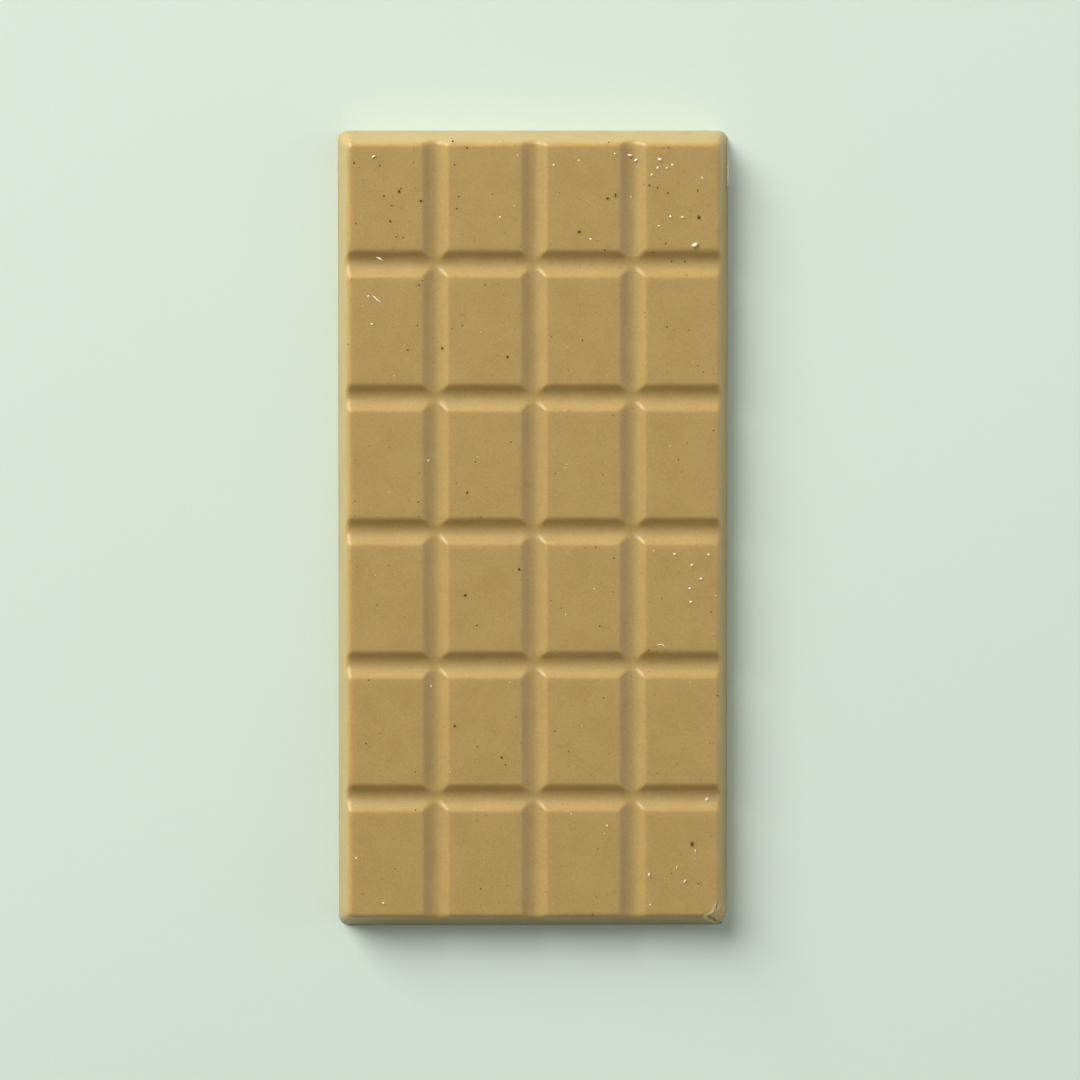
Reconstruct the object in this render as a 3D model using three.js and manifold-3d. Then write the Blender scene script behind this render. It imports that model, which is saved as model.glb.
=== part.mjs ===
import * as THREE from "three";
import { mergeVertices } from "three/addons/utils/BufferGeometryUtils.js";
import Module from "manifold-3d";

// A moulded chocolate bar lying on its flat poured side, sizes in millimetres.
// X runs across the bar, Y along it, Z up. The origin is the middle of the underside.

const wasm = await Module();
wasm.setup();

// Overall sizes, taken at the underside
const LENGTH = 157.5;
const WIDTH = 77.0;
const HEIGHT = 7.1;
const BASE_CORNER_RADIUS = 2.0;

// How far each mould wall leans in between the underside and the top
const SIDE_WALL_LEAN = 1.9;
const END_WALL_LEAN = 2.4;

// The rounding between a wall and the top face
const SHOULDER_INSET = 1.1;
const SHOULDER_DROP = 1.0;
const SHOULDER_STEPS = 4;

// The grid of pillows and the grooves that part them
const COLUMNS = 4;
const ROWS = 6;
const COLUMN_PITCH = 19.41;
const ROW_PITCH = 26.35;
const LENGTHWISE_DEPTH = 1.25;
const CROSSWISE_DEPTH = 1.3;
const GROOVE_SLOPE = THREE.MathUtils.degToRad(36);
const GROOVE_SHOULDER_RADIUS = 1.6;
const GROOVE_BOTTOM_RADIUS = 2.4;

// Where a groove runs out through a wall its floor rolls over in this many steps
const RUN_OUT_STEPS = 3;

// The chipped corner, at +X and -Y, has two broken faces. Each goes through a point that
// is given inward from that corner of the underside
const CHIP_SIDE_POINT = new THREE.Vector3(0.6, 1.7, 0);
const CHIP_SIDE_NORMAL = new THREE.Vector3(0.9, -0.42, 0.44);
const CHIP_END_POINT = new THREE.Vector3(4.2, 2.2, 6.2);
const CHIP_END_NORMAL = new THREE.Vector3(0.44, -0.8, 0.44);
const CHIP_BLOCK = 24;

// Cutters reach this far past the faces they cut
const OVERSHOOT = 2;

// Segments in each rounded plan corner and each arc of the groove profile
const CORNER_SEGMENTS = 3;
const PROFILE_SEGMENTS = 2;

// Slivers thinner than this, left where cuts nearly meet, are merged away
const MERGE_SIZE = 0.01;

const CHOCOLATE = new THREE.MeshStandardMaterial({
  color: 0xae925c,
  roughness: 0.45,
  metalness: 0,
});

// Turns a closed three.js geometry into a solid that can be cut
function toSolid(geometry) {
  const bare = geometry.clone();
  bare.deleteAttribute("normal");
  bare.deleteAttribute("uv");
  const merged = mergeVertices(bare);
  return new wasm.Manifold(
    new wasm.Mesh({
      numProp: 3,
      vertProperties: new Float32Array(merged.attributes.position.array),
      triVerts: new Uint32Array(merged.index.array),
    })
  );
}

// Turns a solid back into a geometry for a mesh
function toGeometry(solid) {
  const mesh = solid.getMesh();
  const geometry = new THREE.BufferGeometry();
  geometry.setAttribute("position", new THREE.BufferAttribute(mesh.vertProperties, 3));
  geometry.setIndex(new THREE.BufferAttribute(mesh.triVerts, 1));
  geometry.computeVertexNormals();
  return geometry;
}

// Gives every vertex of a geometry to a function that may move it
function moveVertices(geometry, move) {
  const positions = geometry.attributes.position;
  const vertex = new THREE.Vector3();
  for (let index = 0; index < positions.count; index += 1) {
    vertex.fromBufferAttribute(positions, index);
    move(vertex);
    positions.setXYZ(index, vertex.x, vertex.y, vertex.z);
  }
}

// The outline of the underside, a rectangle with rounded corners
function baseOutline() {
  const halfWidth = WIDTH / 2;
  const halfLength = LENGTH / 2;
  const armX = halfWidth - BASE_CORNER_RADIUS;
  const armY = halfLength - BASE_CORNER_RADIUS;
  const quarter = Math.PI / 2;
  const shape = new THREE.Shape();
  shape.moveTo(armX, -halfLength);
  shape.absarc(armX, -armY, BASE_CORNER_RADIUS, -quarter, 0, false);
  shape.absarc(armX, armY, BASE_CORNER_RADIUS, 0, quarter, false);
  shape.absarc(-armX, armY, BASE_CORNER_RADIUS, quarter, 2 * quarter, false);
  shape.absarc(-armX, -armY, BASE_CORNER_RADIUS, 2 * quarter, 3 * quarter, false);
  return shape;
}

// The plain slab: leaning walls, rounded shoulders, flat top and flat underside
function slab() {
  const geometry = new THREE.ExtrudeGeometry(baseOutline(), {
    depth: HEIGHT + OVERSHOOT - 2 * SHOULDER_DROP,
    curveSegments: CORNER_SEGMENTS,
    bevelEnabled: true,
    bevelThickness: SHOULDER_DROP,
    bevelSize: SHOULDER_INSET,
    bevelOffset: -SHOULDER_INSET,
    bevelSegments: SHOULDER_STEPS,
  });
  geometry.translate(0, 0, SHOULDER_DROP - OVERSHOOT);
  moveVertices(geometry, (vertex) => {
    const rise = vertex.z / HEIGHT;
    vertex.x -= Math.sign(vertex.x) * SIDE_WALL_LEAN * rise;
    vertex.y -= Math.sign(vertex.y) * END_WALL_LEAN * rise;
  });
  const below = new THREE.BoxGeometry(2 * WIDTH, 2 * LENGTH, 2 * OVERSHOOT);
  below.translate(0, 0, -OVERSHOOT);
  return toSolid(geometry).subtract(toSolid(below));
}

// The groove's cross-section, with its top line level with the top face: convex
// shoulders, straight flanks and a rounded bottom
function grooveProfile(depth) {
  const sine = Math.sin(GROOVE_SLOPE);
  const cosine = Math.cos(GROOVE_SLOPE);
  const shoulderFall = GROOVE_SHOULDER_RADIUS * (1 - cosine);
  const bottomRise = GROOVE_BOTTOM_RADIUS * (1 - cosine);
  const flankFall = depth - shoulderFall - bottomRise;
  const flankRun = flankFall / Math.tan(GROOVE_SLOPE);
  const bottomRun = GROOVE_BOTTOM_RADIUS * sine;
  const halfWidth = GROOVE_SHOULDER_RADIUS * sine + flankRun + bottomRun;
  const bottomCentre = GROOVE_BOTTOM_RADIUS - depth;
  const down = -Math.PI / 2;
  const shape = new THREE.Shape();
  shape.moveTo(halfWidth, OVERSHOOT);
  shape.lineTo(-halfWidth, OVERSHOOT);
  shape.absarc(
    -halfWidth, -GROOVE_SHOULDER_RADIUS, GROOVE_SHOULDER_RADIUS,
    -down, -down - GROOVE_SLOPE, true
  );
  shape.absarc(0, bottomCentre, GROOVE_BOTTOM_RADIUS, down - GROOVE_SLOPE, down, false);
  shape.absarc(0, bottomCentre, GROOVE_BOTTOM_RADIUS, down, down + GROOVE_SLOPE, false);
  shape.absarc(
    halfWidth, -GROOVE_SHOULDER_RADIUS, GROOVE_SHOULDER_RADIUS,
    -down + GROOVE_SLOPE, -down, true
  );
  return shape;
}

// Places along a groove, from one end past the other, each with the drop of its floor
function grooveStations(depth, halfSpan, wallLean) {
  const wallAtFloor = halfSpan - wallLean * (1 - depth / HEIGHT);
  const rollStart = wallAtFloor - SHOULDER_INSET;
  const outward = [];
  for (let step = 0; step <= RUN_OUT_STEPS; step += 1) {
    const angle = (step / RUN_OUT_STEPS) * (Math.PI / 3);
    outward.push({
      along: rollStart + SHOULDER_INSET * Math.sin(angle),
      drop: SHOULDER_DROP * (1 - Math.cos(angle)),
    });
  }
  const last = outward[outward.length - 1];
  const slope = Math.tan(Math.PI / 3) * (SHOULDER_DROP / SHOULDER_INSET);
  outward.push({ along: last.along + OVERSHOOT, drop: last.drop + slope * OVERSHOOT });
  const inward = outward.map((station) => ({ along: -station.along, drop: station.drop }));
  return inward.reverse().concat(outward);
}

// The solid a groove removes, centred on the origin and lying along Y
function grooveCutter(depth, halfSpan, wallLean) {
  const stations = grooveStations(depth, halfSpan, wallLean);
  const steps = stations.length - 1;
  const geometry = new THREE.ExtrudeGeometry(grooveProfile(depth), {
    depth: 1,
    steps: steps,
    curveSegments: PROFILE_SEGMENTS,
    bevelEnabled: false,
  });
  moveVertices(geometry, (vertex) => {
    const station = stations[Math.round(vertex.z * steps)];
    vertex.y -= vertex.y < 1 ? station.drop : 0;
    vertex.z = station.along;
  });
  geometry.rotateX(Math.PI / 2);
  geometry.translate(0, 0, HEIGHT);
  return geometry;
}

// Centre lines of the grooves between a number of pillows
function grooveCentres(pillows, pitch) {
  const centres = [];
  for (let index = 1; index < pillows; index += 1) {
    centres.push((index - pillows / 2) * pitch);
  }
  return centres;
}

// A block whose one face lies on the plane through a point, on the side of its normal
function blockBeyond(inwardPoint, normal) {
  const direction = normal.clone().normalize();
  const geometry = new THREE.BoxGeometry(CHIP_BLOCK, CHIP_BLOCK, CHIP_BLOCK);
  geometry.translate(0, 0, CHIP_BLOCK / 2);
  geometry.applyQuaternion(
    new THREE.Quaternion().setFromUnitVectors(new THREE.Vector3(0, 0, 1), direction)
  );
  geometry.translate(
    WIDTH / 2 - inwardPoint.x,
    -LENGTH / 2 + inwardPoint.y,
    inwardPoint.z
  );
  return toSolid(geometry);
}

// The whole bar in one piece
function chocolateBar() {
  const lengthwise = grooveCutter(LENGTHWISE_DEPTH, LENGTH / 2, END_WALL_LEAN);
  const crosswise = grooveCutter(CROSSWISE_DEPTH, WIDTH / 2, SIDE_WALL_LEAN);
  crosswise.rotateZ(Math.PI / 2);
  const cutters = [];
  for (const centre of grooveCentres(COLUMNS, COLUMN_PITCH)) {
    cutters.push(toSolid(lengthwise).translate([centre, 0, 0]));
  }
  for (const centre of grooveCentres(ROWS, ROW_PITCH)) {
    cutters.push(toSolid(crosswise).translate([0, centre, 0]));
  }
  let bar = slab();
  bar = bar.subtract(cutters.reduce((joined, cutter) => joined.add(cutter)));
  bar = bar.subtract(blockBeyond(CHIP_SIDE_POINT, CHIP_SIDE_NORMAL));
  bar = bar.subtract(blockBeyond(CHIP_END_POINT, CHIP_END_NORMAL));
  const mesh = new THREE.Mesh(toGeometry(bar.simplify(MERGE_SIZE)), CHOCOLATE);
  mesh.name = "chocolate_bar";
  return mesh;
}

const group = new THREE.Group();
group.add(chocolateBar());

export default group;
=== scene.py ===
import math
import random

import bmesh
import bpy
from mathutils import Matrix, Vector, noise


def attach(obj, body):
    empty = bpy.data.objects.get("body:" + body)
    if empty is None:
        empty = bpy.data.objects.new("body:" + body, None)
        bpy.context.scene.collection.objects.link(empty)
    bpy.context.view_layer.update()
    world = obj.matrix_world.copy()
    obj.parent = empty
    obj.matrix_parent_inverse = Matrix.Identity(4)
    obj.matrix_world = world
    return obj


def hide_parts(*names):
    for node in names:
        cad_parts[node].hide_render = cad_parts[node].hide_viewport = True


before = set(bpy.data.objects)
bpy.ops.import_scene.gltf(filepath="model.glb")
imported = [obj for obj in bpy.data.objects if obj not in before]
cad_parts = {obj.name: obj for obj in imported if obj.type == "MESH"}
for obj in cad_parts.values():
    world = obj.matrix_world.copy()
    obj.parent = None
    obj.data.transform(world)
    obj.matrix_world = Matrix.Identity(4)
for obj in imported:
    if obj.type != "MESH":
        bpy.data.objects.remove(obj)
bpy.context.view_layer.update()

bl_info = {
    "name": "Chocolate Bar",
    "version": (1, 0, 0),
    "blender": (4, 5, 0),
    "location": "View3D > Sidebar > Chocolate",
    "description": "A moulded chocolate bar with its crumbs, chipped corner and a plain stage",
    "category": "Object",
}

MM = 0.001
BAR_NODE = "chocolate_bar"
BAR_BODY = "root"

# Spacing of the mesh lines of the bar
GROOVE_LINE_SPACING = 0.24 * MM
PILLOW_LINE_SPACING = 1.0 * MM
RIM_LINES = 4
SHOULDER_RINGS = 6
WALL_RINGS = 9
UNDERSIDE_RINGS = 3
UNDERSIDE_INSET = 2.5 * MM

# Rounding of the ridges where two grooves cross, fading in from the pillow corners
RIDGE_ROUNDING = 0.45 * MM
RIDGE_FADE = 0.5 * MM

# The plan corner of the top face, before the shoulder starts
TOP_CORNER_RADIUS = 0.8 * MM

# A mesh place this close to the rim counts as on it
RIM_CLOSE = 0.0001 * MM

# How far light passes through the chocolate, and the shares of red, green and blue in that
SOFTNESS = 2.8 * MM
SOFT_COLORS = (1.0, 0.7, 0.3)
FRAGMENT_SOFTNESS = 0.5 * MM

# The moulded skin: its shine, its fine ripples, and the paler, greener colour painted on its steep
# walls as a painted sheen
SKIN_IOR = 1.5
SKIN_ROUGHNESS = 0.38
RIPPLE_SIZE = 1.9 * MM
RIPPLE_HEIGHT = 0.03 * MM
WALL_SHEEN_COLOR = (0.50, 0.43, 0.22)
WALL_SHEEN_SHARE = 0.3
WALL_SHEEN_FACING = (0.6, 0.3)

# Sizes of the clouds, the mottling and the grain in the chocolate's colour
CLOUD_SIZE = 5.5 * MM
MOTTLE_SIZE = 0.55 * MM
GRAIN_SIZE = 0.3 * MM

# Spots in the chocolate: spacing, reach and the share of places that have one
COFFEE_SPOTS = (1.15 * MM, 0.2 * MM, 0.3)
FINE_SPOTS = (0.5 * MM, 0.11 * MM, 0.35)
PALE_SPOTS = (0.8 * MM, 0.12 * MM, 0.25)

# The underside, which was poured and not moulded: its pores and its faint bloom
PORE_SPOTS = (1.6 * MM, 0.35 * MM, 0.35)
BLOOM_COLOR = (0.62, 0.50, 0.30)
BLOOM_SIZE = 7 * MM
UNDERSIDE_FACING = (-0.7, -0.95)

# Slow unevenness of the moulded surface: its layers are pairs of fineness and weight
WOBBLE_HEIGHT = 0.035 * MM
WOBBLE_SIZE = 9 * MM
WOBBLE_LAYERS = ((1.0, 1.0), (2.7, 0.5))
WOBBLE_FREE_BELOW = 0.4 * MM

SHARP_ANGLE = math.radians(38)

# The broken corner, at +X and -Y. Each broken face has a point, given from that corner of the
# underside, and a normal
BREAK_FACES = (
    (Vector((-0.4 * MM, 1.6 * MM, 0)), Vector((0.9, -0.42, 0.44)).normalized()),
    (Vector((-4.1 * MM, 2.3 * MM, 6.3 * MM)), Vector((0.44, -0.8, 0.44)).normalized()),
)
BREAK_ZONE = 10 * MM
BREAK_FOOT = 1.2 * MM
BREAK_GRAIN = 1.1 * MM
BREAK_LAYERS = ((1.0, 1.0), (2.3, 0.5), (5.1, 0.3))
BREAK_ROUGHNESS = 0.16 * MM
BREAK_BLOCK = 14 * MM
BREAK_BLOCK_CUTS = 84
BREAK_BLOCK_FLOOR = -0.499 * BREAK_BLOCK
BREAK_FACE_CLOSE = 0.03 * MM

# The mesh is halved again and again within these distances of the broken faces
BREAK_SPLITS = (2.5 * MM, 1.2 * MM, 0.7 * MM, 0.5 * MM)

# The crack that runs along the broken faces, and the lip beside it
CRACK_EDGE = 0.05 * MM
CRACK_WIDTH = 0.4 * MM
CRACK_DEPTH = 0.3 * MM
LIP_WIDTH = 0.34 * MM
LIP_HEIGHT = 0.14 * MM
LIP_RAGGEDNESS = 0.6
LIP_SIDE_END = -2.2 * MM
LIP_SIDE_FADE = 0.4 * MM

# The scuff on the shoulder beside the break, from the same corner
SCUFF_MIDDLE = Vector((-5.6 * MM, 3.3 * MM, 6.9 * MM))
SCUFF_REACH = Vector((0.9 * MM, 0.35 * MM, 1.0 * MM))
SCUFF_DEPTH = 0.05 * MM
SCUFF_TEAR = 0.7

# Pale crumbs pressed into the top, as the camera sees them against the floor: place from the
# middle of the bar, size, length against width, and bearing of the length in degrees
PALE_CRUMBS = (
    (19.2, 73.9, 0.70, 1.9, -8),
    (20.4, 72.9, 0.66, 2.3, 38),
    (25.1, 73.1, 0.66, 1.5, 5),
    (24.7, 71.4, 0.54, 1.0, 0),
    (26.5, 71.4, 0.42, 1.3, 30),
    (27.6, 72.0, 0.48, 1.2, 60),
    (23.5, 70.1, 0.46, 1.0, 0),
    (33.5, 69.4, 0.46, 2.4, -55),
    (27.2, 61.8, 0.43, 1.2, 0),
    (29.6, 61.7, 0.50, 1.4, -10),
    (32.0, 56.2, 0.95, 1.8, 32),
    (16.2, 74.2, 0.43, 1.0, 0),
    (9.1, 72.9, 0.43, 1.2, 0),
    (4.1, 72.0, 0.41, 1.0, 0),
    (11.4, 57.4, 0.41, 1.2, 0),
    (-6.5, 61.7, 0.38, 1.0, 0),
    (-31.4, 73.7, 0.52, 2.8, 27),
    (-31.8, 40.6, 0.48, 1.3, 30),
    (-32.5, 46.1, 0.41, 1.0, 0),
    (-20.7, 13.6, 0.43, 1.4, 70),
    (28.1, -5.0, 0.48, 1.2, 20),
    (34.8, -5.1, 0.46, 1.2, 0),
    (31.5, -7.2, 0.50, 1.5, 60),
    (33.3, -9.9, 0.50, 1.2, 0),
    (31.1, -11.8, 0.43, 1.0, 0),
    (31.3, -14.5, 0.48, 1.4, 40),
    (-20.2, -31.3, 0.43, 1.0, 0),
    (34.6, -53.9, 0.60, 1.5, 60),
    (14.7, -59.0, 0.41, 1.0, 0),
    (32.3, -64.1, 0.43, 1.6, 70),
    (28.6, -67.4, 0.43, 2.4, 80),
    (23.1, -68.8, 0.53, 2.2, 75),
    (30.2, -70.1, 0.50, 2.6, 60),
    (23.3, -74.8, 0.43, 1.0, 0),
    (-35.1, -65.4, 0.41, 1.0, 0),
    (-29.7, -74.4, 0.43, 1.3, 0),
    (24.9, 60.0, 0.42, 1.7, 10),
    (19.4, 65.7, 0.28, 1.1, 0),
)

# Curled shavings, lifted a little: place, length, width, bearing in degrees and how far the
# middle bows out
SHAVINGS = (
    (-30.5, 53.6, 1.75, 0.36, -28, 0.04),
    (-30.9, 45.6, 2.2, 0.27, -40, -0.05),
    (25.4, -23.3, 1.7, 0.2, -13, 0.35),
)

SHAVING_LIFT = 0.05 * MM
SHAVING_FLATNESS = 0.6
SHAVING_UNEVENNESS = 0.06 * MM

# Dark specks of ground coffee that show most: place and size
DARK_SPECKS = (
    (-26.4, 66.8, 0.55),
    (-28.2, 60.9, 0.44),
    (-22.1, 64.9, 0.49),
    (9.2, 58.8, 0.55),
    (14.8, 65.4, 0.46),
    (16.3, 66.2, 0.41),
    (32.8, 61.7, 0.69),
    (-17.9, 35.8, 0.55),
    (-5.0, 34.1, 0.46),
    (-13.0, 7.2, 0.46),
    (-2.7, -8.0, 0.50),
    (-13.4, -13.1, 0.55),
    (-15.5, -39.1, 0.50),
    (-6.2, -45.4, 0.46),
    (31.6, -62.7, 0.69),
    (24.6, 67.5, 0.36),
    (26.7, 66.5, 0.34),
    (32.6, 66.9, 0.36),
    (26.3, 56.5, 0.34),
    (23.9, 54.8, 0.34),
    (27.5, 53.0, 0.34),
    (30.1, 52.9, 0.32),
    (-29.4, 65.9, 0.34),
    (-27.9, 64.0, 0.34),
    (-27.0, 57.8, 0.32),
    (-15.0, 63.4, 0.34),
    (-14.6, 65.8, 0.34),
    (-35.3, 72.4, 0.40),
    (-30.2, 71.9, 0.38),
    (-15.8, 76.7, 0.38),
    (-13.0, 75.4, 0.40),
    (-22.5, 48.3, 0.40),
)

# Crumbs and specks too small to list one by one, a number for each pillow
STRAY_CRUMBS_EACH = 1.4
STRAY_CRUMB_SIZE = (0.14 * MM, 0.3 * MM)
STRAY_SPECKS_EACH = 5.0
STRAY_SPECK_SIZE = (0.15 * MM, 0.36 * MM)
STRAY_MARGIN = 2.2 * MM

# The shape of the lumps. A crumb's middle lies a share of its size above the surface, and a
# speck is sunk by a share of its height
LUMP_ROUGHNESS = 0.45
LUMP_GRAIN = 2.6
ORIGIN_SPREAD = 50
CRUMB_FLATNESS = 0.85
STRAY_CRUMB_FLATNESS = 0.7
FRAGMENT_FLATNESS = 0.8
CRUMB_LIFT = 0.15
CRUMB_STRETCH = (1, 1.8)
SPECK_STRETCH = (1, 1.5)
STRAY_SPECK_STRETCH = (1, 1.6)
FRAGMENT_STRETCH = (1, 1.7)
CRUMB_SEED = 5
SPECK_SEED = 11
FRAGMENT_SEED = 3
SPECK_SUNK = 0.36
SPECK_FLATNESS = 0.45
SPECK_SHINE = 0.15

# Fragments that cling to the foot of the broken corner, from that corner: place and size
FRAGMENTS = (
    (-3.3, 0.75, 1.3, 0.6),
    (-2.7, 0.5, 0.6, 0.5),
    (-2.1, 0.7, 0.35, 0.7),
    (-1.6, 1.0, 0.3, 0.55),
    (-1.15, 1.5, 0.25, 0.45),
    (-3.55, 4.75, 6.95, 0.35),
)

# The thin sliver that stands off the +X wall near its +Y end; its pale crumb colour is partly its
# own and partly painted light that keeps it bright in the bar's shadow
SLIVER_START = 67.9 * MM
SLIVER_END = 77.1 * MM
SLIVER_FOOT = 0.1 * MM
SLIVER_TOP = 1.7 * MM
SLIVER_THICKNESS = 0.34 * MM
SLIVER_STANDOFF = 0.1 * MM
SLIVER_CUTS = 30
SLIVER_RAGGEDNESS = 0.35
SLIVER_GRAIN = 14
SLIVER_BLUNT_END = 0.06
SLIVER_FULLNESS = 0.3
SLIVER_TAPER = 0.45
SLIVER_BURIED = 0.04 * MM

# The photographing camera: its place, the point it aims at, and its sensor and lens in
# millimetres
CAMERA_PLACE = Vector((-20.8 * MM, 70.5 * MM, 1300 * MM))
CAMERA_AIM = Vector((1.41 * MM, -2.17 * MM, 0))
CAMERA_SENSOR = 36.0
CAMERA_LENS = 219.1

# Each light's bearing from +X, elevation and distance, seen from the bar, and its size
KEY_PLACE = (math.radians(131), math.radians(32), 2.5)
KEY_SIZE = 1.8
SIDE_PLACE = (math.radians(0), math.radians(45), 2.0)
SIDE_SIZE = 2.2
LOW_PLACE = (math.radians(0), math.radians(10), 1.5)
LOW_SIZE = 0.7
WORLD_COLOR = (0.88, 1.0, 0.92)

FLOOR_SIZE = 4.0
FLOOR_GAP = 0.02 * MM
FLOOR_GRAIN = 0.7 * MM
FLOOR_SHADE = 0.96
FLOOR_ROUGHNESS = 0.9


# Sizes and colours that a user would change

COLOR_KIND = {"size": 3, "min": 0, "max": 1, "subtype": "COLOR"}


class BarSizes(bpy.types.PropertyGroup):
    length: bpy.props.FloatProperty(
        name="Length",
        description="Length of the bar along Y, at the underside",
        default=157.5 * MM,
        unit="LENGTH",
    )
    width: bpy.props.FloatProperty(
        name="Width",
        description="Width of the bar along X, at the underside",
        default=77.0 * MM,
        unit="LENGTH",
    )
    height: bpy.props.FloatProperty(
        name="Height",
        description="Height of the pillows above the underside",
        default=7.1 * MM,
        unit="LENGTH",
    )
    columns: bpy.props.IntProperty(
        name="Columns",
        description="Pillows across the bar",
        default=4,
    )
    rows: bpy.props.IntProperty(
        name="Rows",
        description="Pillows along the bar",
        default=6,
    )
    column_pitch: bpy.props.FloatProperty(
        name="Column Pitch",
        description="Distance between the lengthwise grooves",
        default=19.41 * MM,
        unit="LENGTH",
    )
    row_pitch: bpy.props.FloatProperty(
        name="Row Pitch",
        description="Distance between the crosswise grooves",
        default=26.35 * MM,
        unit="LENGTH",
    )
    lengthwise_depth: bpy.props.FloatProperty(
        name="Lengthwise Depth",
        description="Depth of the grooves that run along the bar",
        default=1.25 * MM,
        unit="LENGTH",
    )
    crosswise_depth: bpy.props.FloatProperty(
        name="Crosswise Depth",
        description="Depth of the grooves that run across the bar",
        default=1.3 * MM,
        unit="LENGTH",
    )
    groove_slope: bpy.props.FloatProperty(
        name="Groove Slope",
        description="Steepest angle of a groove's flank",
        default=math.radians(36),
        subtype="ANGLE",
    )
    groove_shoulder_radius: bpy.props.FloatProperty(
        name="Groove Shoulder Radius",
        description="Rounding between a pillow's top and a groove's flank",
        default=1.6 * MM,
        unit="LENGTH",
    )
    groove_bottom_radius: bpy.props.FloatProperty(
        name="Groove Bottom Radius",
        description="Rounding of a groove's bottom",
        default=2.4 * MM,
        unit="LENGTH",
    )
    side_lean: bpy.props.FloatProperty(
        name="Side Lean",
        description="How far the long walls lean in from the underside to the top",
        default=1.9 * MM,
        unit="LENGTH",
    )
    end_lean: bpy.props.FloatProperty(
        name="End Lean",
        description="How far the short walls lean in from the underside to the top",
        default=2.4 * MM,
        unit="LENGTH",
    )
    shoulder_inset: bpy.props.FloatProperty(
        name="Shoulder Inset",
        description="Width of the rounding between a wall and the top",
        default=1.1 * MM,
        unit="LENGTH",
    )
    shoulder_drop: bpy.props.FloatProperty(
        name="Shoulder Drop",
        description="Height of the rounding between a wall and the top",
        default=1.0 * MM,
        unit="LENGTH",
    )
    base_corner_radius: bpy.props.FloatProperty(
        name="Base Corner Radius",
        description="Rounding of the outline's corners at the underside",
        default=2.0 * MM,
        unit="LENGTH",
    )


class ChocolateFinish(bpy.types.PropertyGroup):
    body_color: bpy.props.FloatVectorProperty(
        name="Chocolate",
        description="Main colour of the chocolate",
        default=(0.53, 0.372, 0.135),
        **COLOR_KIND,
    )
    deep_color: bpy.props.FloatVectorProperty(
        name="Mottling",
        description="Colour of the darker clouds in the chocolate",
        default=(0.475, 0.322, 0.108),
        **COLOR_KIND,
    )
    speck_color: bpy.props.FloatVectorProperty(
        name="Specks",
        description="Colour of the dark specks of ground coffee and cocoa",
        default=(0.10, 0.045, 0.014),
        **COLOR_KIND,
    )
    break_color: bpy.props.FloatVectorProperty(
        name="Break",
        description="Colour of a broken face",
        default=(0.66, 0.48, 0.30),
        **COLOR_KIND,
    )
    crumb_color: bpy.props.FloatVectorProperty(
        name="Crumbs",
        description="Colour of the pale crumbs and shavings",
        default=(1.0, 0.88, 0.64),
        **COLOR_KIND,
    )


class StageSettings(bpy.types.PropertyGroup):
    floor_color: bpy.props.FloatVectorProperty(
        name="Floor",
        description="Colour of the floor",
        default=(0.70, 0.80, 0.69),
        **COLOR_KIND,
    )
    key_power: bpy.props.FloatProperty(
        name="Key Light",
        description="Power of the large soft light at the upper left",
        default=94.0,
        unit="POWER",
    )
    side_power: bpy.props.FloatProperty(
        name="Side Light",
        description="Power of the weak soft light from the right",
        default=13.0,
        unit="POWER",
    )
    low_power: bpy.props.FloatProperty(
        name="Low Light",
        description="Power of the small light low on the right, which draws the right rim",
        default=2.0,
        unit="POWER",
    )
    fill_strength: bpy.props.FloatProperty(
        name="Fill",
        description="Strength of the even light from all round",
        default=0.1,
    )


# Shape of the moulded surface


def groove_fall(distance, depth, sizes):
    """How far a groove's surface lies below the top face at a distance from its middle."""
    slope = sizes.groove_slope
    bottom = sizes.groove_bottom_radius
    shoulder = sizes.groove_shoulder_radius
    bottom_run = bottom * math.sin(slope)
    bottom_rise = bottom * (1 - math.cos(slope))
    shoulder_fall = shoulder * (1 - math.cos(slope))
    flank_run = (depth - shoulder_fall - bottom_rise) / math.tan(slope)
    distance = abs(distance)
    if distance < bottom_run:
        return depth - bottom + math.sqrt(bottom**2 - distance**2)
    if distance < bottom_run + flank_run:
        return depth - bottom_rise - (distance - bottom_run) * math.tan(slope)
    left = groove_half_width(depth, sizes) - distance
    if left > 0:
        return shoulder - math.sqrt(shoulder**2 - left**2)
    return 0.0


def groove_half_width(depth, sizes):
    """Half the width of a groove at the top face."""
    slope = sizes.groove_slope
    rounded = sizes.groove_bottom_radius + sizes.groove_shoulder_radius
    flank_fall = depth - rounded * (1 - math.cos(slope))
    return rounded * math.sin(slope) + flank_fall / math.tan(slope)


def groove_centres(pillows, pitch):
    """Middle lines of the grooves between a number of pillows."""
    return [(index - pillows / 2) * pitch for index in range(1, pillows)]


def top_fall(x, y, sizes):
    """How far the moulded surface lies below the top face, with rounded ridges at crossings."""
    along = 0.0
    for centre in groove_centres(sizes.columns, sizes.column_pitch):
        along = max(along, groove_fall(x - centre, sizes.lengthwise_depth, sizes))
    across = 0.0
    for centre in groove_centres(sizes.rows, sizes.row_pitch):
        across = max(across, groove_fall(y - centre, sizes.crosswise_depth, sizes))
    fade = min(1.0, min(along, across) / RIDGE_FADE)
    reach = RIDGE_ROUNDING * fade
    if reach <= 0:
        return max(along, across)
    overlap = max(reach - abs(along - across), 0.0)
    return max(along, across) + overlap**2 / (4 * reach)


# Mesh lines of the bar


def spread(start, end, spacing):
    """Even positions from start up to but not including end, about a spacing apart."""
    count = max(1, round((end - start) / spacing))
    return [start + (end - start) * index / count for index in range(count)]


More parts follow.
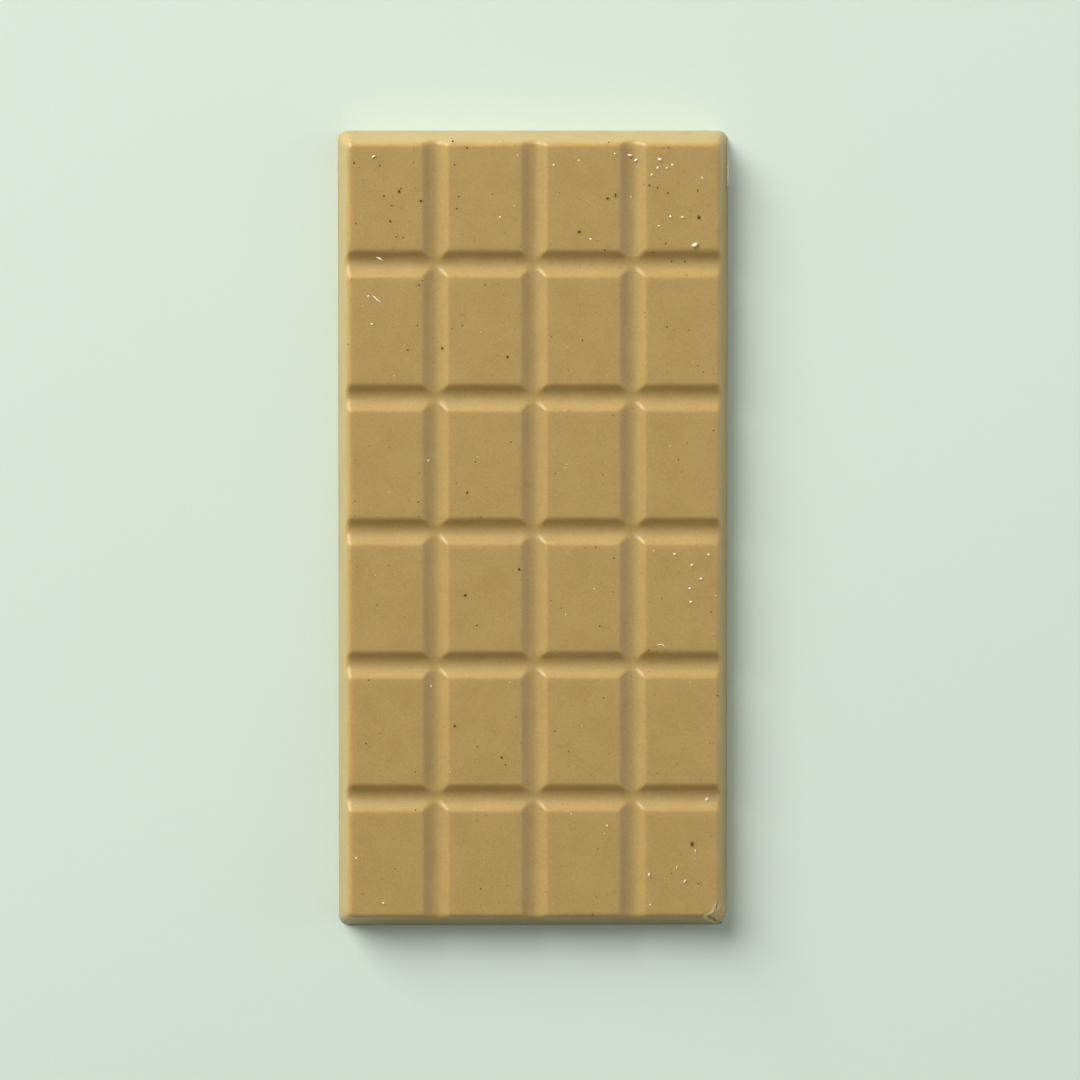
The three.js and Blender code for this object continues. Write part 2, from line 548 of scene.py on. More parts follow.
def mesh_lines(half_span, centres, groove_half):
    """Positions of the mesh lines across the bar: close in the grooves and at the rims."""
    rim = TOP_CORNER_RADIUS
    lines = spread(-half_span, rim - half_span, rim / RIM_LINES)
    reached = rim - half_span
    for centre in centres:
        lines += spread(reached, centre - groove_half, PILLOW_LINE_SPACING)
        lines += spread(centre - groove_half, centre + groove_half, GROOVE_LINE_SPACING)
        reached = centre + groove_half
    lines += spread(reached, half_span - rim, PILLOW_LINE_SPACING)
    lines += spread(half_span - rim, half_span, rim / RIM_LINES)
    lines.append(half_span)
    return lines


class WallProfile:
    """Where each ring of the bar's wall lies, out from the top face's rim and down from it."""

    def __init__(self, sizes):
        lean = (sizes.side_lean + sizes.end_lean) / 2
        wall_slope = math.atan(sizes.height / lean)
        turn = math.atan(math.tan(wall_slope) * sizes.shoulder_inset / sizes.shoulder_drop)
        self.shoulder = []
        for ring in range(SHOULDER_RINGS + 1):
            angle = turn * ring / SHOULDER_RINGS
            out = sizes.shoulder_inset * math.sin(angle)
            fall = sizes.shoulder_drop * (1 - math.cos(angle))
            self.shoulder.append((out, fall))
        self.out_end, self.fall_end = self.shoulder[-1]
        self.sizes = sizes

    def rim_half(self, full, lean):
        """Half the top face's span, where the shoulder starts."""
        return full / 2 - lean * (1 - self.fall_end / self.sizes.height) - self.out_end

    def ring(self, index, fall, half, full, lean):
        """Half span and height of a ring, for a wall whose rim lies that far below the top."""
        height = self.sizes.height
        start = half + lean * fall / height
        if index <= SHOULDER_RINGS:
            out, drop = self.shoulder[index]
            return start + out, height - fall - drop
        share = (index - SHOULDER_RINGS) / WALL_RINGS
        top_span = start + self.out_end
        top_height = height - fall - self.fall_end
        return top_span + (full / 2 - top_span) * share, top_height * (1 - share)


def corner_point(u, v, half_x, half_y, radius):
    """Maps a place in the square corner zone, 0 to 1 each way, onto a rounded corner."""
    reach = max(u, v)
    angle = math.pi / 4 * (v / u) if u >= v else math.pi / 2 - math.pi / 4 * (u / v)
    x = half_x - radius + radius * reach * math.cos(angle)
    y = half_y - radius + radius * reach * math.sin(angle)
    return x, y


class BarSurface:
    """Where each vertex of the bar's top grid and walls lies."""

    def __init__(self, sizes):
        self.sizes = sizes
        self.profile = WallProfile(sizes)
        self.half_x = self.profile.rim_half(sizes.width, sizes.side_lean)
        self.half_y = self.profile.rim_half(sizes.length, sizes.end_lean)
        self.corner_x = self.half_x - TOP_CORNER_RADIUS
        self.corner_y = self.half_y - TOP_CORNER_RADIUS
        self.columns = mesh_lines(
            self.half_x,
            groove_centres(sizes.columns, sizes.column_pitch),
            groove_half_width(sizes.lengthwise_depth, sizes),
        )
        self.rows = mesh_lines(
            self.half_y,
            groove_centres(sizes.rows, sizes.row_pitch),
            groove_half_width(sizes.crosswise_depth, sizes),
        )

    def number_lines(self, bm):
        """Gives each vertex of the top grid the numbers of its column and row line."""
        self.column_line = bm.verts.layers.int.new("column_line")
        self.row_line = bm.verts.layers.int.new("row_line")
        bm.verts.ensure_lookup_table()
        for index, vertex in enumerate(bm.verts):
            vertex[self.column_line] = index % len(self.columns)
            vertex[self.row_line] = index // len(self.columns)

    def spot(self, vertex):
        """The place of a vertex's lines on the top face."""
        return self.columns[vertex[self.column_line]], self.rows[vertex[self.row_line]]

    def inside_rim(self, vertex):
        """Whether a vertex of the top grid lies inside its outermost lines."""
        inner_x = 0 < vertex[self.column_line] < len(self.columns) - 1
        inner_y = 0 < vertex[self.row_line] < len(self.rows) - 1
        return inner_x and inner_y

    def place(self, vertex, ring):
        """Puts a vertex at its place on a ring, with ring 0 at the top face's rim."""
        sizes = self.sizes
        x, y = self.spot(vertex)
        fall = top_fall(x, y, sizes)
        u = max(0.0, (abs(x) - self.corner_x) / TOP_CORNER_RADIUS)
        v = max(0.0, (abs(y) - self.corner_y) / TOP_CORNER_RADIUS)
        on_side = abs(x) > self.half_x - RIM_CLOSE
        on_end = abs(y) > self.half_y - RIM_CLOSE
        span_x, height = self.profile.ring(ring, fall, self.half_x, sizes.width, sizes.side_lean)
        span_y, end_height = self.profile.ring(
            ring, fall, self.half_y, sizes.length, sizes.end_lean
        )
        if not on_side:
            height = end_height
        on_corner_rim = ring > 0 and (u > 0 and on_end or v > 0 and on_side)
        if u > 0 and v > 0 or on_corner_rim:
            progress = (span_x - self.half_x) / (sizes.width / 2 - self.half_x)
            radius = TOP_CORNER_RADIUS
            radius += (sizes.base_corner_radius - TOP_CORNER_RADIUS) * progress
            x_new, y_new = corner_point(u, v, span_x, span_y, radius)
        else:
            x_new = span_x if on_side else abs(x)
            y_new = span_y if on_end else abs(y)
        vertex.co = Vector((math.copysign(x_new, x), math.copysign(y_new, y), height))


def bar_mesh(sizes):
    """The bar as one closed mesh: a top grid, its walls and its underside."""
    surface = BarSurface(sizes)
    bm = bmesh.new()
    bmesh.ops.create_grid(
        bm,
        x_segments=len(surface.columns) - 1,
        y_segments=len(surface.rows) - 1,
        size=0.5,
    )
    surface.number_lines(bm)
    for vertex in bm.verts:
        surface.place(vertex, 0)
        if surface.inside_rim(vertex):
            x, y = surface.spot(vertex)
            vertex.co.z = sizes.height - top_fall(x, y, sizes)
    rim = [edge for edge in bm.edges if edge.is_boundary]
    for ring in range(1, SHOULDER_RINGS + WALL_RINGS + 1):
        made, rim = extrude_rim(bm, rim)
        for vertex in made:
            surface.place(vertex, ring)
    close_underside(bm, rim, sizes)
    bmesh.ops.recalc_face_normals(bm, faces=bm.faces)
    return bm


def extrude_rim(bm, rim):
    """Extrudes the open rim of a mesh, and gives the new vertices and the new open rim."""
    made = bmesh.ops.extrude_edge_only(bm, edges=rim)["geom"]
    vertices = [part for part in made if isinstance(part, bmesh.types.BMVert)]
    edges = [part for part in made if isinstance(part, bmesh.types.BMEdge)]
    return vertices, [edge for edge in edges if edge.is_boundary]


def close_underside(bm, rim, sizes):
    """Closes the bar's underside with a few rings and one flat face."""
    inset = UNDERSIDE_INSET / UNDERSIDE_RINGS
    for ring in range(UNDERSIDE_RINGS):
        made, rim = extrude_rim(bm, rim)
        for vertex in made:
            vertex.co.x *= 1 - 2 * inset / sizes.width
            vertex.co.y *= 1 - 2 * inset / sizes.length
    bmesh.ops.contextual_create(bm, geom=rim)


def layered_noise(point, layers):
    """Noise of several layers at a point, each with a fineness and a weight."""
    return sum(weight * noise.noise(point * fineness) for fineness, weight in layers)


def add_wobble(bm):
    """Moves the moulded surface a little in and out, as a poured piece has it."""
    bm.normal_update()
    for vertex in bm.verts:
        share = min(1.0, max(0.0, vertex.co.z / WOBBLE_FREE_BELOW - 1.0))
        if share > 0:
            swell = layered_noise(vertex.co / WOBBLE_SIZE, WOBBLE_LAYERS)
            vertex.co += vertex.normal * (WOBBLE_HEIGHT * share * swell)


# The broken corner


def break_grain(point):
    """The unevenness of a broken face at a point, about -1 to 1."""
    return layered_noise(point / BREAK_GRAIN, BREAK_LAYERS)


def beyond_break(point, corner):
    """How far a point lies outside the nearest broken face, below zero inside the bar."""
    beyond = max((point - corner - place).dot(normal) for place, normal in BREAK_FACES)
    return beyond + BREAK_ROUGHNESS * break_grain(point)


def split_near_break(bm, corner):
    """Gives the mesh close lines round the broken faces."""
    for reach in BREAK_SPLITS:
        near = {
            vertex
            for vertex in bm.verts
            if (vertex.co - corner).length < BREAK_ZONE
            and beyond_break(vertex.co, corner) > -reach
        }
        edges = [edge for edge in bm.edges if edge.verts[0] in near and edge.verts[1] in near]
        bmesh.ops.subdivide_edges(bm, edges=edges, cuts=1, use_grid_fill=True)


def break_block(corner, place, normal):
    """A block whose rough lower face lies on a broken face, on the side of its normal."""
    bm = bmesh.new()
    bmesh.ops.create_cube(bm, size=BREAK_BLOCK)
    bmesh.ops.subdivide_edges(bm, edges=bm.edges, cuts=BREAK_BLOCK_CUTS, use_grid_fill=True)
    turn = normal.to_track_quat("Z", "Y").to_matrix()
    for vertex in bm.verts:
        lowest = vertex.co.z < BREAK_BLOCK_FLOOR
        point = corner + place + turn @ (vertex.co + Vector((0, 0, BREAK_BLOCK / 2)))
        if lowest:
            point -= normal * (BREAK_ROUGHNESS * break_grain(point))
        vertex.co = point
    return bm


def cut_away(thing, block):
    """Takes a block away from an object and leaves its mesh cut."""
    cutter = new_object("cutter", block)
    cut = thing.modifiers.new("Cut", "BOOLEAN")
    cut.operation = "DIFFERENCE"
    cut.solver = "EXACT"
    cut.object = cutter
    found = thing.evaluated_get(bpy.context.evaluated_depsgraph_get())
    mesh = bpy.data.meshes.new_from_object(found)
    thing.modifiers.clear()
    thing.data = mesh
    bpy.data.objects.remove(cutter)


def skin_depth(point, sizes):
    """How deep a point lies below the top face or inside the -Y wall, whichever is nearer."""
    wall = sizes.length / 2 - sizes.end_lean * point.z / sizes.height
    return min(sizes.height - point.z, wall + point.y)


def break_corner(bm, sizes):
    """Breaks the corner off and works the crack, the lip and the scuff beside the break.

    The layer "broken" is 1 on torn chocolate, and "edge" runs from -1 in the crack to 1 on the lip;
    the material paints shade into the crack and a highlight onto the lip from "edge".
    """
    corner = Vector((sizes.width / 2, -sizes.length / 2, 0))
    split_near_break(bm, corner)
    whole = new_object("whole", bm)
    for place, normal in BREAK_FACES:
        cut_away(whole, break_block(corner, place, normal))
    bm = bmesh.new()
    bm.from_mesh(whole.data)
    bpy.data.objects.remove(whole)
    bm.normal_update()
    broken = bm.verts.layers.float.new("broken")
    edge = bm.verts.layers.float.new("edge")
    moved = {}
    for vertex in bm.verts:
        point = vertex.co
        if (point - corner).length > BREAK_ZONE:
            continue
        beyond = beyond_break(point, corner)
        depth = skin_depth(point, sizes)
        scuff = point - corner - SCUFF_MIDDLE
        scuff = Vector(part / reach for part, reach in zip(scuff, SCUFF_REACH))
        if beyond > -BREAK_FACE_CLOSE:
            vertex[broken] = 1.0
            if CRACK_EDGE < depth < CRACK_WIDTH and point.z > BREAK_FOOT:
                share = (depth - CRACK_EDGE) / (CRACK_WIDTH - CRACK_EDGE)
                share = math.sin(math.pi * share)
                moved[vertex] = point - vertex.normal * (CRACK_DEPTH * share)
                # The crack's share of painted shade
                vertex[edge] = -share
        elif beyond > -LIP_WIDTH and point.z > sizes.height / 2:
            share = 1 + beyond / LIP_WIDTH
            share *= min(max((corner.x + LIP_SIDE_END - point.x) / LIP_SIDE_FADE, 0.0), 1.0)
            ragged = 1 + LIP_RAGGEDNESS * noise.noise(point / BREAK_GRAIN)
            height = LIP_HEIGHT * share**2 * ragged
            moved[vertex] = point + vertex.normal * height
            vertex[broken] = share
            # The lip's share of painted highlight
            vertex[edge] = share
        elif scuff.length < 1:
            share = 1 - scuff.length**2
            moved[vertex] = point - vertex.normal * (SCUFF_DEPTH * share)
            vertex[broken] = SCUFF_TEAR * share
    for vertex, place in moved.items():
        vertex.co = place
    return bm


# Small loose shapes


def add_lump(bm, place, size, stretch, bearing, flatness, draw):
    """Adds one rough little lump to a mesh, its middle at a place."""
    made = bmesh.ops.create_icosphere(bm, subdivisions=2, radius=0.5)["verts"]
    origin = Vector((draw.random(), draw.random(), draw.random())) * ORIGIN_SPREAD
    for vertex in made:
        vertex.co *= 1 + LUMP_ROUGHNESS * noise.noise(vertex.co * LUMP_GRAIN + origin)
    scale = Vector((size * math.sqrt(stretch), size / math.sqrt(stretch), size * flatness))
    bmesh.ops.scale(bm, vec=scale, verts=made)
    turn = Matrix.Rotation(bearing, 3, "Z")
    bmesh.ops.rotate(bm, cent=(0, 0, 0), matrix=turn, verts=made)
    bmesh.ops.translate(bm, vec=place, verts=made)


def on_top(x, y, sizes, lift):
    """The place on the moulded surface at x and y, lifted by a length."""
    return Vector((x, y, sizes.height - top_fall(x, y, sizes) + lift))


def seen_on_top(x, y, sizes, lift):
    """The place on the moulded surface that covers a place on the floor in the camera's view."""
    share = sizes.height / CAMERA_PLACE.z
    x += (CAMERA_PLACE.x - x) * share
    y += (CAMERA_PLACE.y - y) * share
    return on_top(x, y, sizes, lift)


def stray_places(sizes, each, draw):
    """Random places on the pillows, a number for each pillow."""
    count = round(each * sizes.columns * sizes.rows)
    places = []
    for index in range(count):
        column = draw.randrange(sizes.columns) - (sizes.columns - 1) / 2
        row = draw.randrange(sizes.rows) - (sizes.rows - 1) / 2
        across = (sizes.column_pitch / 2 - STRAY_MARGIN) * draw.uniform(-1, 1)
        along = (sizes.row_pitch / 2 - STRAY_MARGIN) * draw.uniform(-1, 1)
        places.append((column * sizes.column_pitch + across, row * sizes.row_pitch + along))
    return places


def crumbs_mesh(sizes):
    """The sliver on the wall and all the pale crumbs and shavings in the top."""
    draw = random.Random(CRUMB_SEED)
    bm = bmesh.new()
    # The sliver takes the pale crumb material, partly as painted light where it stands in the bar's
    # shadow
    add_sliver(bm, sizes)
    for x, y, size, stretch, bearing in PALE_CRUMBS:
        size = size * MM
        place = seen_on_top(x * MM, y * MM, sizes, size * CRUMB_LIFT)
        add_lump(bm, place, size, stretch, math.radians(bearing), CRUMB_FLATNESS, draw)
    for x, y in stray_places(sizes, STRAY_CRUMBS_EACH, draw):
        size = draw.uniform(*STRAY_CRUMB_SIZE)
        place = on_top(x, y, sizes, size * CRUMB_LIFT)
        stretch = draw.uniform(*CRUMB_STRETCH)
        bearing = draw.uniform(0, math.pi)
        add_lump(bm, place, size, stretch, bearing, STRAY_CRUMB_FLATNESS, draw)
    for x, y, length, width, bearing, bow in SHAVINGS:
        place = seen_on_top(x * MM, y * MM, sizes, SHAVING_LIFT)
        add_shaving(bm, place, length, width, bearing, bow)
    return bm


def add_shaving(bm, place, length, width, bearing, bow):
    """Adds one thin curled shaving to a mesh, pointed at both ends."""
    made = bmesh.ops.create_uvsphere(bm, u_segments=10, v_segments=24, radius=0.5)["verts"]
    turn = Matrix.Rotation(math.pi / 2, 3, "Y")
    bmesh.ops.rotate(bm, cent=(0, 0, 0), matrix=turn, verts=made)
    scale = Vector((length, width, width * SHAVING_FLATNESS)) * MM
    bmesh.ops.scale(bm, vec=scale, verts=made)
    for vertex in made:
        share = 2 * vertex.co.x / (length * MM)
        vertex.co.y += bow * MM * (1 - share**2)
        vertex.co.y += SHAVING_UNEVENNESS * noise.noise(Vector((share * 4, bearing, 0)))
    turn = Matrix.Rotation(math.radians(bearing), 3, "Z")
    bmesh.ops.rotate(bm, cent=(0, 0, 0), matrix=turn, verts=made)
    bmesh.ops.translate(bm, vec=place, verts=made)


def specks_mesh(sizes):
    """The dark specks that lie nearly flush in the top."""
    draw = random.Random(SPECK_SEED)
    bm = bmesh.new()
    for x, y, size in DARK_SPECKS:
        size = size * MM
        lift = size * SPECK_FLATNESS * (0.5 - SPECK_SUNK)
        place = seen_on_top(x * MM, y * MM, sizes, lift)
        bearing = draw.uniform(0, math.pi)
        add_lump(bm, place, size, draw.uniform(*SPECK_STRETCH), bearing, SPECK_FLATNESS, draw)
    for x, y in stray_places(sizes, STRAY_SPECKS_EACH, draw):
        size = draw.uniform(*STRAY_SPECK_SIZE)
        lift = size * SPECK_FLATNESS * (0.5 - SPECK_SUNK)
        bearing = draw.uniform(0, math.pi)
        place = on_top(x, y, sizes, lift)
        add_lump(bm, place, size, draw.uniform(*STRAY_SPECK_STRETCH), bearing, SPECK_FLATNESS, draw)
    return bm


def fragments_mesh(sizes):
    """The fragments at the broken corner."""
    draw = random.Random(FRAGMENT_SEED)
    bm = bmesh.new()
    corner = Vector((sizes.width / 2, -sizes.length / 2, 0))
    for x, y, z, size in FRAGMENTS:
        place = corner + Vector((x, y, z)) * MM
        bearing = draw.uniform(0, math.pi)
        stretch = draw.uniform(*FRAGMENT_STRETCH)
        add_lump(bm, place, size * MM, stretch, bearing, FRAGMENT_FLATNESS, draw)
    return bm


def add_sliver(bm, sizes):
    """Fills an empty mesh with the thin sliver on the wall, thickest at its -Y end."""
    bmesh.ops.create_cube(bm, size=1.0)
    along = [edge for edge in bm.edges if abs(edge.verts[0].co.y - edge.verts[1].co.y) > 0.5]
    bmesh.ops.subdivide_edges(bm, edges=along, cuts=SLIVER_CUTS, use_grid_fill=True)
    lean = sizes.side_lean / sizes.height
    bend_start = sizes.length / 2 - sizes.base_corner_radius
    for vertex in bm.verts:
        share = vertex.co.y + 0.5
        along_it = min(1.0, SLIVER_BLUNT_END + share * (1 - SLIVER_BLUNT_END))
        taper = math.sin(math.pi * along_it) ** SLIVER_FULLNESS * (1 - SLIVER_TAPER * share)
        y = SLIVER_START + (SLIVER_END - SLIVER_START) * share
        upper = vertex.co.z + 0.5
        ragged = 1 + SLIVER_RAGGEDNESS * noise.noise(Vector((share * SLIVER_GRAIN, 0.3, 0.7)))
        z = SLIVER_FOOT + (SLIVER_TOP - SLIVER_FOOT) * upper * taper * ragged
        wall = sizes.width / 2 - lean * z
        wall -= max(0.0, y - bend_start) ** 2 / (2 * sizes.base_corner_radius)
        gap = SLIVER_STANDOFF * upper * taper
        thick = SLIVER_THICKNESS * taper * (vertex.co.x + 0.5)
        buried = SLIVER_BURIED * (1 - upper)
        vertex.co = Vector((wall + gap + thick - buried, y, z))


def new_object(name, bm):
    """Makes an object of a bmesh, at the origin."""
    mesh = bpy.data.meshes.new(name)
    bm.to_mesh(mesh)
    bm.free()
    thing = bpy.data.objects.new(name, mesh)
    bpy.context.scene.collection.objects.link(thing)
    return thing


def new_piece(name, bm, material):
    """Makes a smooth piece of the bar of a bmesh, with its material."""
    if not bm.faces:
        raise RuntimeError(name + " has no faces")
    bmesh.ops.recalc_face_normals(bm, faces=bm.faces)
    piece = new_object(name, bm)
    piece.data.materials.append(material)
    piece.data.shade_smooth()
    piece.data.set_sharp_from_angle(angle=SHARP_ANGLE)
    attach(piece, BAR_BODY)
    return piece


# Materials


class Finish:
    """A material under construction, with short ways to add and join its nodes."""

    def __init__(self, name):
        self.material = bpy.data.materials.new(name)
        self.material.use_nodes = True
        self.nodes = self.material.node_tree.nodes
        self.shader = self.nodes["Principled BSDF"]
        self.place = self.nodes.new("ShaderNodeTexCoord").outputs["Object"]

    def join(self, source, target):
        """Joins one node's output to another's input."""
        self.material.node_tree.links.new(source, target)

    def noise(self, size, detail=2.0, distortion=0.0):
        """Noise about 0.5, with bumps of a size in metres."""
        made = self.nodes.new("ShaderNodeTexNoise")
        made.inputs["Scale"].default_value = 1 / size
        made.inputs["Detail"].default_value = detail
        made.inputs["Distortion"].default_value = distortion
        self.join(self.place, made.inputs["Vector"])
        return made.outputs["Fac"]

    def spots(self, spacing, reach, share):
        """Round spots, 1 in the middle and 0 past their reach, in a share of the cells."""
        cells = self.nodes.new("ShaderNodeTexVoronoi")
        cells.inputs["Scale"].default_value = 1 / spacing
        self.join(self.place, cells.inputs["Vector"])
        spot = self.ramp(cells.outputs["Distance"], reach / spacing, 0.3 * reach / spacing)
        chance = self.nodes.new("ShaderNodeSeparateColor")
        self.join(cells.outputs["Color"], chance.inputs["Color"])
        chosen = self.ramp(chance.outputs["Red"], 1 - share, 1.0 - 0.6 * share)
        return self.multiply(spot, chosen)

    def ramp(self, value, start, end):
        """0 where a value is at its start, 1 at its end, smooth between."""
        made = self.nodes.new("ShaderNodeMapRange")
        made.interpolation_type = "SMOOTHSTEP"
        made.inputs["From Min"].default_value = min(start, end)
        made.inputs["From Max"].default_value = max(start, end)
        made.inputs["To Min"].default_value = 0 if start < end else 1
        made.inputs["To Max"].default_value = 1 if start < end else 0
        self.join(value, made.inputs["Value"])
        return made.outputs["Result"]

    def multiply(self, value, other):
        """The product of a value and another value or number."""
        return self.math("MULTIPLY", value, other)

    def add(self, value, other):
        """The sum of a value and another value or number."""
        return self.math("ADD", value, other)

    def math(self, operation, value, other):
        """A value worked together with another value or number."""
        made = self.nodes.new("ShaderNodeMath")
        made.operation = operation
        self.join(value, made.inputs[0])
        if isinstance(other, (int, float)):
            made.inputs[1].default_value = other
        else:
            self.join(other, made.inputs[1])
        return made.outputs["Value"]

    def blend(self, color, other, factor):
        """A colour mixed towards another by a factor."""
        made = self.nodes.new("ShaderNodeMix")
        made.data_type = "RGBA"
        self.fill(made.inputs["A"], color)
        self.fill(made.inputs["B"], other)
        self.join(factor, made.inputs["Factor"])
        return made.outputs["Result"]

    def fill(self, socket, color):
        """Gives a socket a colour, which is a value of the nodes or a fixed colour."""
        if isinstance(color, bpy.types.NodeSocket):
            self.join(color, socket)
        else:
            socket.default_value = (*color, 1)

    def attribute(self, name):
        """A value that the mesh holds for each vertex."""
        made = self.nodes.new("ShaderNodeAttribute")
        made.attribute_name = name
        return made.outputs["Fac"]

    def facing(self, start, end):
        """Rises from 0 to 1 as the upward part of the surface's direction goes start to end."""
        surface = self.nodes.new("ShaderNodeNewGeometry")
        parts = self.nodes.new("ShaderNodeSeparateXYZ")
        self.join(surface.outputs["Normal"], parts.inputs["Vector"])
        return self.ramp(parts.outputs["Z"], start, end)

    def bump(self, height, distance):
        """Raises the surface by a height from 0 to 1 times a distance in metres."""
        made = self.nodes.new("ShaderNodeBump")
        made.inputs["Distance"].default_value = distance
        self.join(height, made.inputs["Height"])
        self.join(made.outputs["Normal"], self.shader.inputs["Normal"])

    def soften(self, weight, scale, radius):
        """Lets light pass a little way through."""
        self.shader.inputs["Subsurface Weight"].default_value = weight
        self.shader.inputs["Subsurface Scale"].default_value = scale
        self.shader.inputs["Subsurface Radius"].default_value = radius


def chocolate_material(finish):
    """Tan chocolate with soft mottling, faint specks, a satin skin and a dull break, with a painted
    sheen on its walls, painted shade in its crack and a painted highlight on its lip.
    """
    made = Finish("chocolate")
    made.soften(1.0, SOFTNESS, SOFT_COLORS)
    made.shader.inputs["IOR"].default_value = SKIN_IOR
    clouds = made.noise(CLOUD_SIZE, detail=3)
    mottle = made.noise(MOTTLE_SIZE, detail=2)
    grain = made.ramp(made.noise(GRAIN_SIZE, detail=2), 0.35, 0.65)
    shade = made.add(made.multiply(clouds, 0.9), made.multiply(mottle, 0.5))
    shade = made.add(shade, made.multiply(grain, 0.4))
    color = made.blend(finish.body_color, finish.deep_color, made.ramp(shade, 0.5, 1.3))
    # Painted sheen: steep walls are mixed towards a paler, greener colour that stands in for light
    # they reflect
    walls = made.multiply(made.facing(*WALL_SHEEN_FACING), WALL_SHEEN_SHARE)
    color = made.blend(color, WALL_SHEEN_COLOR, walls)
    specks = made.spots(*COFFEE_SPOTS)
    fine = made.spots(*FINE_SPOTS)
    color = made.blend(color, finish.speck_color, made.multiply(specks, 0.42))
    color = made.blend(color, finish.speck_color, made.multiply(fine, 0.25))
    pale = made.spots(*PALE_SPOTS)
    color = made.blend(color, finish.crumb_color, made.multiply(pale, 0.3))
    broken = made.attribute("broken")
    crumbly = made.ramp(made.noise(GRAIN_SIZE, detail=3), 0.3, 0.7)
    torn = made.blend(finish.break_color, finish.deep_color, crumbly)
    color = made.blend(color, torn, made.multiply(broken, 0.8))
    edge = made.attribute("edge")
    # Painted highlight: the raised lip beside the crack is mixed towards the pale crumb colour
    painted_lip_highlight = made.ramp(edge, 0.0, 0.7)
    color = made.blend(color, finish.crumb_color, made.multiply(painted_lip_highlight, 0.18))
    # Painted shade: the crack is mixed towards the speck colour, where shade falls in it
    dark = made.ramp(edge, 0.0, -0.8)
    color = made.blend(color, finish.speck_color, made.multiply(dark, 0.4))
    under = made.facing(*UNDERSIDE_FACING)
    pores = made.spots(*PORE_SPOTS)
    bloom = made.ramp(made.noise(BLOOM_SIZE, detail=4, distortion=0.6), 0.4, 0.68)
    color = made.blend(color, BLOOM_COLOR, made.multiply(made.multiply(bloom, under), 0.35))
    color = made.blend(color, finish.speck_color, made.multiply(made.multiply(pores, under), 0.3))
    made.join(color, made.shader.inputs["Base Color"])
    rough = made.add(made.multiply(clouds, 0.12), SKIN_ROUGHNESS - 0.06)
    rough = made.add(rough, made.multiply(mottle, 0.04))
    rough = made.add(rough, made.multiply(broken, 0.3))
    rough = made.add(rough, made.multiply(under, 0.16))
    made.join(rough, made.shader.inputs["Roughness"])
    ripple = made.noise(RIPPLE_SIZE, detail=3)
    height = made.add(ripple, made.multiply(mottle, 0.2))
    height = made.add(height, made.multiply(made.multiply(crumbly, broken), 1.2))
    height = made.add(height, made.multiply(made.multiply(pores, under), -1.5))
    made.bump(height, RIPPLE_HEIGHT)
    return made.material


def crumb_material(finish):
    """Pale dry crumbs, a little uneven in colour."""
    made = Finish("crumbs")
    uneven = made.noise(0.35 * MM, detail=2)
    color = made.blend(finish.crumb_color, finish.body_color, made.ramp(uneven, 0.6, 0.95))
    made.join(color, made.shader.inputs["Base Color"])
    made.join(made.add(made.multiply(uneven, 0.3), 0.35), made.shader.inputs["Roughness"])
    made.bump(made.noise(0.12 * MM, detail=2), 0.03 * MM)
    return made.material


def speck_material(finish):
    """Dark ground coffee under a thin film of chocolate."""
    made = Finish("specks")
    film = made.noise(0.4 * MM, detail=3)
    blend = made.ramp(film, 0.45, 0.95)
    color = made.blend(finish.speck_color, finish.deep_color, blend)
    made.join(color, made.shader.inputs["Base Color"])
    made.join(made.add(made.multiply(film, 0.2), 0.5), made.shader.inputs["Roughness"])
    made.shader.inputs["Specular IOR Level"].default_value = SPECK_SHINE
    made.bump(film, 0.03 * MM)
    return made.material


def fragment_material(finish):
    """Broken chocolate, dull and grainy."""
    made = Finish("fragments")
    made.soften(1.0, FRAGMENT_SOFTNESS, SOFT_COLORS)
    grain = made.noise(GRAIN_SIZE, detail=3)
    color = made.blend(finish.break_color, finish.body_color, made.ramp(grain, 0.3, 0.7))
    made.join(color, made.shader.inputs["Base Color"])
    made.join(made.add(made.multiply(grain, 0.25), 0.42), made.shader.inputs["Roughness"])
    made.bump(grain, 0.05 * MM)
    return made.material


def floor_material(color):
    """Plain pale paper with the least unevenness."""
    made = Finish("floor")
    uneven = made.noise(FLOOR_GRAIN, detail=3)
    darker = [part * FLOOR_SHADE for part in color]
    made.join(made.blend(color, darker, uneven), made.shader.inputs["Base Color"])
    made.shader.inputs["Roughness"].default_value = FLOOR_ROUGHNESS
    return made.material


# Operators


class AddBar(bpy.types.Operator):
    """Add the chocolate bar in place of the plain solid"""

    bl_idname = "chocolate.add_bar"
    bl_label = "Add Bar"

    def execute(self, context):
        sizes = context.scene.bar_sizes
        bm = bar_mesh(sizes)
        add_wobble(bm)
        bm = break_corner(bm, sizes)
        bar = new_piece("moulded_bar", bm, chocolate_material(context.scene.chocolate_finish))
        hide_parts(BAR_NODE)
        return {"FINISHED"}


class AddCrumbs(bpy.types.Operator):
    """Add the pale crumbs and shavings in the top, and the sliver along the wall"""

    bl_idname = "chocolate.add_crumbs"
    bl_label = "Add Crumbs"

    def execute(self, context):
        bm = crumbs_mesh(context.scene.bar_sizes)
        new_piece("pale_crumbs", bm, crumb_material(context.scene.chocolate_finish))
        return {"FINISHED"}


class AddSpecks(bpy.types.Operator):
    """Add the dark specks in the top"""

    bl_idname = "chocolate.add_specks"
    bl_label = "Add Specks"

    def execute(self, context):
        bm = specks_mesh(context.scene.bar_sizes)
        new_piece("dark_specks", bm, speck_material(context.scene.chocolate_finish))
        return {"FINISHED"}


class AddFragments(bpy.types.Operator):
    """Add the fragments at the broken corner"""

    bl_idname = "chocolate.add_fragments"
    bl_label = "Add Fragments"

    def execute(self, context):
        bm = fragments_mesh(context.scene.bar_sizes)
        new_piece("fragments", bm, fragment_material(context.scene.chocolate_finish))
        return {"FINISHED"}


